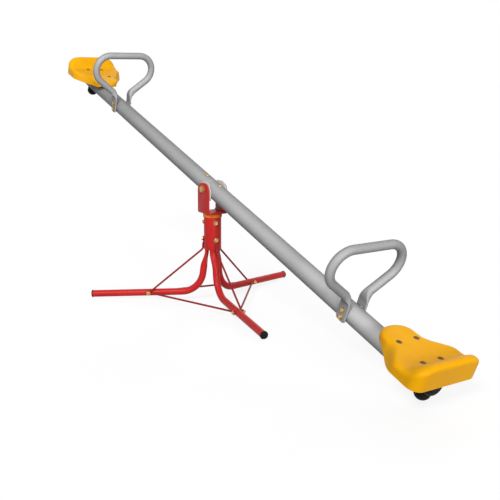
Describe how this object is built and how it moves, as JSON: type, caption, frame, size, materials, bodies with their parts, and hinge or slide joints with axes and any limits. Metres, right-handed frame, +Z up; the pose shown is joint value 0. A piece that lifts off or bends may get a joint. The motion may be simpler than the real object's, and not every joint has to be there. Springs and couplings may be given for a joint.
{
  "type": "seesaw",
  "caption": "Playground seesaw: a round beam with moulded seats and loop handles tilts in a fork that swivels on a three-legged column.",
  "frame": {"origin": "on the ground, under the middle of the whole object's plan", "axes": "+X along the beam towards its lowered end, +Z up"},
  "size_m": [1.827, 0.633, 0.7213],
  "materials": {
    "silver_paint": "satin silver-grey paint",
    "red_paint": "satin red paint",
    "yellow_plastic": "satin moulded plastic",
    "black_rubber": "dull moulded rubber",
    "yellow_zinc": "yellow zinc plating",
    "orange_plastic": "turned plastic bush",
    "pale_nylon": "dull pale sheet plastic",
    "bare_steel": "bare steel"
  },
  "bodies": {
    "base": {"column_sleeve": "red_paint", "swivel_bush": "orange_plastic", "leg_left": "red_paint", "leg_front": "red_paint", "leg_right": "red_paint", "leg_cap_left": "black_rubber", "leg_cap_front": "black_rubber", "leg_cap_right": "black_rubber", "tie_rod_left": "red_paint", "tie_rod_front": "red_paint", "tie_rod_right": "red_paint", "stay_left": "red_paint", "stay_front": "red_paint", "stay_right": "red_paint", "leg_bolt_left": "yellow_zinc", "leg_bolt_front": "yellow_zinc", "leg_bolt_right": "yellow_zinc", "leg_nut_left": "yellow_zinc", "leg_nut_front": "yellow_zinc", "leg_nut_right": "yellow_zinc", "column_bolt_left_upper": "yellow_zinc", "column_bolt_left_lower": "yellow_zinc", "column_bolt_front_upper": "yellow_zinc", "column_bolt_front_lower": "yellow_zinc", "column_bolt_right_upper": "yellow_zinc", "column_bolt_right_lower": "yellow_zinc"},
    "fork": {"fork_bracket": "red_paint", "pivot_spacer_left": "pale_nylon", "pivot_spacer_right": "pale_nylon", "spindle_nut": "yellow_zinc", "pivot_bolt": "yellow_zinc", "pivot_nut": "yellow_zinc"},
    "beam": {"beam_tube_near": "silver_paint", "beam_tube_far": "silver_paint", "beam_coupler": "bare_steel", "pivot_bush": "bare_steel", "coupler_screw_near": "yellow_zinc", "end_cap_near": "black_rubber", "bumper_near": "black_rubber", "handle_near": "silver_paint", "handle_bolt_near_upper": "yellow_zinc", "handle_bolt_near_lower": "yellow_zinc", "seat_near": "yellow_plastic", "seat_bracket_near": "bare_steel", "seat_bolt_near_front_left": "yellow_zinc", "seat_bolt_near_front_right": "yellow_zinc", "seat_bolt_near_rear_left": "yellow_zinc", "seat_bolt_near_rear_right": "yellow_zinc", "coupler_screw_far": "yellow_zinc", "end_cap_far": "black_rubber", "bumper_far": "black_rubber", "handle_far": "silver_paint", "handle_bolt_far_upper": "yellow_zinc", "handle_bolt_far_lower": "yellow_zinc", "seat_far": "yellow_plastic", "seat_bracket_far": "bare_steel", "seat_bolt_far_front_left": "yellow_zinc", "seat_bolt_far_front_right": "yellow_zinc", "seat_bolt_far_rear_left": "yellow_zinc", "seat_bolt_far_rear_right": "yellow_zinc"}
  },
  "joints": [
    {"name": "swivel", "type": "hinge", "parent": "base", "child": "fork", "pos_m": [-0.01646, -0.02923, 0.2], "axis": [0, 0, 1], "continuous": true},
    {"name": "tilt", "type": "hinge", "parent": "fork", "child": "beam", "pos_m": [-0.01646, -0.02923, 0.335], "axis": [0, -1, 0], "range_deg": [0, 37.12]}
  ]
}
